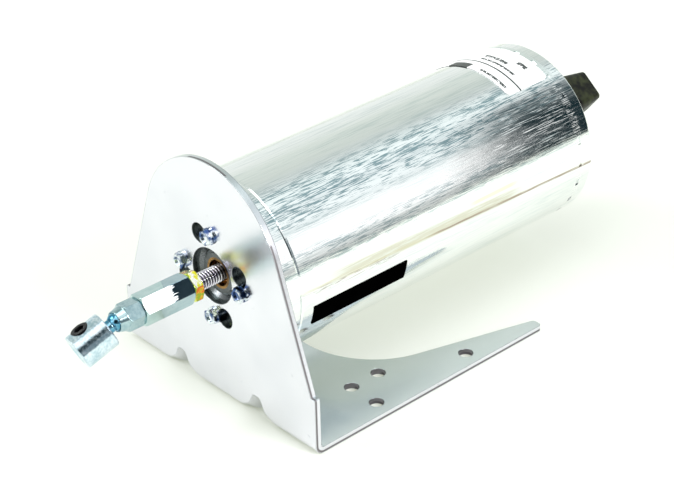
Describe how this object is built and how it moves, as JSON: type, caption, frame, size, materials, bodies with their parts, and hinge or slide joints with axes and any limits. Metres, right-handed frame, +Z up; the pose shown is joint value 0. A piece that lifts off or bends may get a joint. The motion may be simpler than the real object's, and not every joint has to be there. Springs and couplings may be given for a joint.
{
  "type": "pneumatic damper actuator",
  "caption": "Pneumatic damper actuator: drawn steel cylinder on an arched folded bracket, with a threaded shaft, a ball joint and a rod connector.",
  "frame": {"origin": "centre of the four outer foot holes, on the foot's underside", "axes": "+Y from the shaft's end to the air port along the cylinder, +Z up from the foot to the arch, +X to the right seen from the shaft's end"},
  "size_m": [0.127, 0.2935, 0.1145],
  "materials": {
    "zinc_sheet": "matte bright zinc on folded sheet",
    "bright_steel_can": "bright, drawn, with fine streaks along the can",
    "black_moulding": "satin black moulding",
    "bushing_bronze": "oiled sintered bronze",
    "spring_steel": "plain steel",
    "zinc_screws": "bright bluish zinc",
    "diaphragm_rubber": "matte",
    "piston_aluminium": "pressed, plain",
    "shaft_steel": "rolled thread, bright zinc",
    "yellow_zinc": "yellow zinc",
    "zinc_hexagon": "bright zinc with drawing lines",
    "seat_plastic": "smooth",
    "polished_ball": "polished",
    "zinc_turned": "turned, bright bluish zinc",
    "black_screw": "black oxide",
    "white_label": "printed film",
    "black_strip": "matte film"
  },
  "bodies": {
    "housing": {"mounting_bracket": "zinc_sheet", "cylinder_shell": "bright_steel_can", "rear_cover": "black_moulding", "front_bushing": "bushing_bronze", "bushing_clip": "spring_steel", "fixing_screws": "zinc_screws", "lock_washers": "zinc_screws", "clinch_nuts": "zinc_screws", "return_spring": "spring_steel", "diaphragm": "diaphragm_rubber", "rating_label": "white_label", "side_strip": "black_strip"},
    "shaft": {"piston_shaft": "shaft_steel", "piston": "piston_aluminium", "piston_plate": "spring_steel", "piston_nut": "zinc_screws", "shaft_collar": "zinc_screws", "jam_nut": "yellow_zinc", "shaft_coupling": "zinc_hexagon", "ball_socket": "zinc_hexagon"},
    "seat": {"ball_seat": "seat_plastic"},
    "stud": {"ball_stud": "polished_ball"},
    "connector": {"rod_connector": "zinc_turned", "set_screw": "black_screw"}
  },
  "joints": [
    {"name": "shaft_stroke", "type": "slide", "parent": "housing", "child": "shaft", "axis": [0, -1, 0], "range_m": [0, 0.06], "stiffness_N_per_m": 2050, "springref_m": -0.085, "deforming": ["return_spring", "diaphragm"]},
    {"name": "ball_swing", "type": "hinge", "parent": "shaft", "child": "seat", "pos_m": [0, -0.11975, 0.0605], "axis": [0, -1, 0], "continuous": true},
    {"name": "ball_tilt", "type": "hinge", "parent": "seat", "child": "stud", "pos_m": [0, -0.11975, 0.0605], "axis": [-0.9444, 0, 0.3289], "range_deg": [0, 52]},
    {"name": "connector_spin", "type": "hinge", "parent": "stud", "child": "connector", "pos_m": [0, -0.11975, 0.0605], "axis": [-0.1442, -0.8988, -0.414], "continuous": true}
  ]
}
